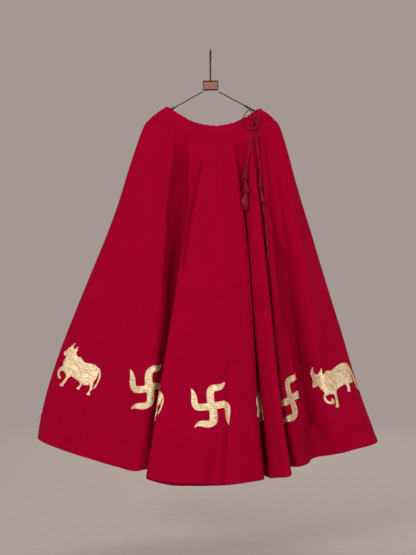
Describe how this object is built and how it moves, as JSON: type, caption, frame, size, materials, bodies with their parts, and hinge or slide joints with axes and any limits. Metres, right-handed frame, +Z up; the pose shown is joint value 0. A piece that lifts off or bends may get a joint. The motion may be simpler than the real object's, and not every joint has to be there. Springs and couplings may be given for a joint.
{
  "type": "lehenga skirt on a clothes hanger",
  "caption": "Long flared crimson skirt with a drawstring waistband, tassels and a deep turned hem, hanging in folds from a wire hanger.",
  "frame": {"origin": "highest point inside the hanger's hook, where it rests on a rail", "axes": "+Z up; the front of the skirt faces -Y; +X is the viewer's right; the hanger's arms lie along X"},
  "size_m": [1.004, 0.461, 1.2503],
  "materials": {
    "crimson_silk": "matte silk blend with a slight sheen",
    "crimson_facing": "matte backing cloth",
    "maroon_satin": "satin cord and satin tassels",
    "gold_tissue": "pale gold metallic tissue",
    "black_metal": "gloss black plated wire",
    "brown_wood": "satin varnish",
    "black_rubber": "matte sleeve"
  },
  "bodies": {
    "root": {"drawstring_hitch": "maroon_satin", "drawstring_knot": "maroon_satin", "drawstring_left": "maroon_satin", "drawstring_loop": "maroon_satin", "drawstring_right": "maroon_satin", "hanger_arm_left": "black_metal", "hanger_arm_right": "black_metal", "hanger_block": "brown_wood", "hanger_frame": "black_metal", "hanger_grip_left": "black_rubber", "hanger_grip_right": "black_rubber", "hanger_hook": "black_metal", "hem_facing_back": "crimson_facing", "hem_facing_front": "crimson_facing", "skirt_back": "crimson_silk", "skirt_front": "crimson_silk", "skirt_left": "crimson_silk", "skirt_right_back": "crimson_silk", "skirt_right_front": "crimson_silk", "tassel_left_lower_bell": "maroon_satin", "tassel_left_petal": "maroon_satin", "tassel_left_upper_bell": "maroon_satin", "tassel_right_lower_bell": "maroon_satin", "tassel_right_petal_1": "maroon_satin", "tassel_right_petal_2": "maroon_satin", "tassel_right_petal_3": "maroon_satin", "tassel_right_petal_4": "maroon_satin", "tassel_right_upper_bell": "maroon_satin", "waistband": "crimson_silk"}
  },
  "joints": []
}
